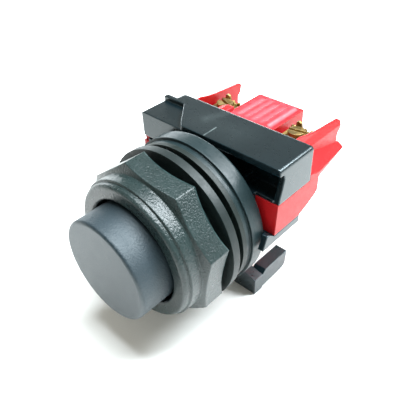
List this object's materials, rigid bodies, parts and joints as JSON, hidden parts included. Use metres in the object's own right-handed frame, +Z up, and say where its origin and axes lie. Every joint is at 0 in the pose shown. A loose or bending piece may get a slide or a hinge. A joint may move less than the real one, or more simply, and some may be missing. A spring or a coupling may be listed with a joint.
{
  "type": "panel pushbutton switch",
  "caption": "Heavy-duty pushbutton switch for a 30 mm panel hole: dark grey round button, octagonal bezel nut, black mounting frame and a red contact block with brass terminals.",
  "frame": {"origin": "centre of the panel seat, the front ring face of the panel gasket, on the button's axis", "axes": "-Y towards the user along the button's axis, +Z up, towards the contact block, +X to the user's right"},
  "size_m": [0.048, 0.0727, 0.0493],
  "materials": {
    "button_plastic": "fine matte texture",
    "dark_moulding": "plain moulded",
    "spring_steel": "bright wire",
    "seal_rubber": "soft matte",
    "nut_plastic": "pebbled texture",
    "ring_plastic": "satin",
    "gasket_rubber": "smooth",
    "body_plastic": "semi-gloss",
    "frame_plastic": "semi-gloss",
    "screw_steel": "zinc plated",
    "lever_plastic": "satin",
    "red_plastic": "glossy moulded",
    "red_cover": "glossy moulded",
    "white_moulding": "plain moulded",
    "contact_brass": "plain",
    "tip_silver": "silver",
    "clamp_brass": "slightly dull",
    "terminal_brass": "slightly dull"
  },
  "bodies": {
    "base": {"panel_gasket": "gasket_rubber", "operator_body": "body_plastic", "mounting_frame": "frame_plastic", "frame_screws": "screw_steel", "latch_pin": "screw_steel", "block_housing": "red_plastic", "block_cover": "red_cover", "block_screws": "screw_steel", "plunger_spring": "spring_steel", "return_spring": "spring_steel", "fixed_contact_left": "contact_brass", "fixed_contact_right": "contact_brass", "fixed_tips": "tip_silver", "wire_clamps": "clamp_brass", "terminal_screws": "terminal_brass"},
    "button": {"button_cap": "button_plastic", "plunger_stem": "dark_moulding", "stem_seal": "seal_rubber", "stop_clip": "spring_steel"},
    "contact": {"contact_plunger": "white_moulding", "moving_bridge": "contact_brass", "bridge_spring": "spring_steel", "moving_tips": "tip_silver"},
    "washer": {"thrust_washer": "ring_plastic"},
    "nut": {"bezel_nut": "nut_plastic"},
    "lever": {"latch_lever": "lever_plastic"}
  },
  "joints": [
    {"name": "button_press", "type": "slide", "parent": "base", "child": "button", "axis": [0, 1, 0], "range_m": [0, 0.0055], "stiffness_N_per_m": 500, "springref_m": -0.005, "deforming": ["return_spring"]},
    {"name": "contact_slide", "type": "slide", "parent": "base", "child": "contact", "axis": [0, 1, 0], "range_m": [0, 0.0055], "stiffness_N_per_m": 150, "springref_m": -0.003, "deforming": ["plunger_spring"]},
    {"name": "nut_turn", "type": "hinge", "parent": "washer", "child": "nut", "pos_m": [0, 0, 0], "axis": [0, -1, 0], "range_deg": [0, 360]},
    {"name": "washer_slide", "type": "slide", "parent": "base", "child": "washer", "axis": [0, -1, 0], "range_m": [0, 0.0015]},
    {"name": "lever_swing", "type": "hinge", "parent": "base", "child": "lever", "pos_m": [0.004, 0.0124, -0.0165], "axis": [0, 1, 0], "range_deg": [0, 25]}
  ],
  "couplings": [
    {"joint": "contact_slide", "follows": "button_press", "ratio": 1},
    {"joint": "washer_slide", "follows": "nut_turn", "m_per_rad": 0.00023873}
  ]
}
